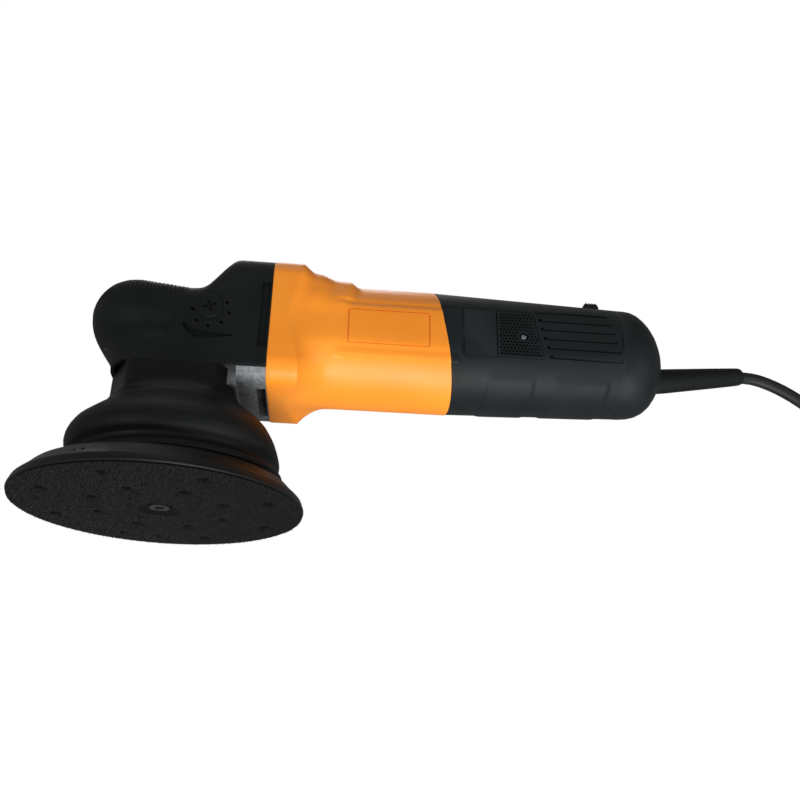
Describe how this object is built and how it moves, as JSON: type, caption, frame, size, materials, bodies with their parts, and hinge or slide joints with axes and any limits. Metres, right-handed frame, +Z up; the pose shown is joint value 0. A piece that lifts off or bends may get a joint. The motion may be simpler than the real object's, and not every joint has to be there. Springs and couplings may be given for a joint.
{
  "type": "dual action polisher",
  "caption": "Corded orbital polisher: bevel-geared motor in a straight handle drives an eccentric, freely turning backing plate under a rubber shroud.",
  "frame": {"origin": "on the spindle axis, in the plane of the hook face, where the machine rests on its pad side", "axes": "+Z up the spindle from the hook face to the head; +X back along the handle towards the cord; +Y to the far side"},
  "size_m": [0.5693, 0.1936, 0.1335],
  "materials": {
    "black_rubber": "soft matt elastomer",
    "black_shell": "fine-textured moulded nylon",
    "board": "glass-filled laminate",
    "bronze": "sintered",
    "carbon": "pressed carbon",
    "cast_alloy": "die cast, as cast",
    "copper": "enamelled winding wire",
    "dark_steel": "blackened",
    "foam": "closed-cell polyurethane",
    "hook": "woven hooks",
    "laminations": "stacked sheet",
    "orange_shell": "satin moulded nylon",
    "plate_plastic": "moulded, satin",
    "steel": "machined",
    "white_plastic": "moulded"
  },
  "bodies": {
    "root": {"gear_case": "cast_alloy", "gear_case_flange": "cast_alloy", "gear_case_screws": "dark_steel", "head_cover": "black_rubber", "cover_screw_caps": "black_rubber", "shroud": "black_rubber", "shroud_lip_ring": "black_rubber", "shroud_clamp_plate": "cast_alloy", "shroud_clamp_screws": "dark_steel", "spindle_top_bush": "bronze", "spindle_bearing_outer": "steel", "motor_housing": "orange_shell", "handle_shell_near": "black_shell", "handle_shell_far": "black_shell", "brush_door_near": "black_shell", "brush_door_far": "black_shell", "vent_cover_near": "black_shell", "vent_cover_far": "black_shell", "vent_cover_screws": "dark_steel", "rear_bumper": "black_rubber", "stator_core": "laminations", "field_coils": "copper", "fan_baffle": "black_shell", "brush_bridge": "black_shell", "brush_holders": "bronze", "carbon_brushes": "carbon", "armature_front_bearing_outer": "steel", "armature_rear_bearing_outer": "steel", "switch_body": "black_shell", "control_board": "board", "strain_relief": "black_rubber", "cord_clamp": "black_shell", "cord": "black_rubber", "cord_coil": "black_rubber", "cord_tail": "black_rubber", "plug": "black_rubber", "plug_pins": "steel"},
    "armature": {"armature_shaft": "steel", "armature_core": "laminations", "armature_windings": "copper", "commutator": "copper", "cooling_fan": "white_plastic", "bevel_pinion": "steel", "armature_front_bearing_inner": "steel", "armature_rear_bearing_inner": "steel"},
    "spindle": {"spindle": "steel", "crown_gear": "steel", "spindle_bearing_inner": "steel", "counterweight": "dark_steel", "orbit_bearing_outer": "steel"},
    "plate": {"hook_face": "hook", "plate_foam": "foam", "plate_core": "plate_plastic", "plate_washer": "steel", "centre_bolt": "dark_steel", "plate_carrier": "steel", "retaining_ring": "dark_steel", "orbit_bearing_inner": "steel"},
    "slider": {"switch_slider": "black_shell"},
    "dial": {"speed_dial": "black_shell"}
  },
  "joints": [
    {"name": "spindle_spin", "type": "hinge", "parent": "root", "child": "spindle", "pos_m": [0, 0, 0.065], "axis": [0, 0, 1], "continuous": true},
    {"name": "armature_spin", "type": "hinge", "parent": "root", "child": "armature", "pos_m": [0.1, 0, 0.097], "axis": [1, 0, 0], "continuous": true},
    {"name": "plate_spin", "type": "hinge", "parent": "spindle", "child": "plate", "pos_m": [-0.00742, 0.00742, 0.026], "axis": [0, 0, 1], "continuous": true},
    {"name": "power_slide", "type": "slide", "parent": "root", "child": "slider", "axis": [-1, 0, 0], "range_m": [0, 0.005]},
    {"name": "speed_turn", "type": "hinge", "parent": "root", "child": "dial", "pos_m": [0.212, 0.0215, 0.0976], "axis": [0, 0, 1], "range_deg": [-150, 150]}
  ],
  "couplings": [
    {"joint": "armature_spin", "follows": "spindle_spin", "ratio": 3}
  ]
}
